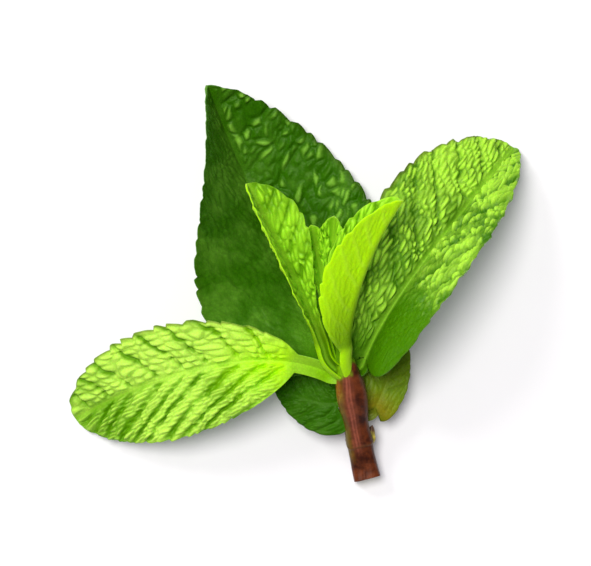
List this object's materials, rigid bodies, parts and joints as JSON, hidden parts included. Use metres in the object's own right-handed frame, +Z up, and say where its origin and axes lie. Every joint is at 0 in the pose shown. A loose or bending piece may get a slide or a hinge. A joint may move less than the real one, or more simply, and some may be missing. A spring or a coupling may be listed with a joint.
{
  "type": "mint sprig",
  "caption": "Cut top of a mint shoot lying flat: short square stem, spreading toothed leaves, and young folded leaves round the shoot tip.",
  "frame": {"origin": "on the surface that the sprig lies on, under the middle of its outline", "axes": "+Z up from the surface, +Y from the cut end of the stem towards the shoot tip, +X towards the right leaf"},
  "size_m": [0.0671, 0.0586, 0.0237],
  "materials": {
    "stem": "smooth maroon skin, green where the leaves join",
    "bright_leaf": "quilted lime-green leaf, soft satin gloss",
    "green_leaf": "quilted mid-green leaf, soft satin gloss",
    "dark_leaf": "quilted deep-green leaf, soft satin gloss",
    "olive_leaf": "olive-green leaf, soft satin gloss",
    "young_leaf": "tender yellow-green leaf, smooth underside"
  },
  "bodies": {
    "root": {"stem": "stem", "leaf_left": "bright_leaf", "leaf_right": "green_leaf", "leaf_back": "dark_leaf", "lower_leaf_left": "dark_leaf", "lower_leaf_right": "olive_leaf", "young_leaf_left": "young_leaf", "young_leaf_right": "young_leaf", "shoot_tip": "young_leaf"}
  },
  "joints": []
}
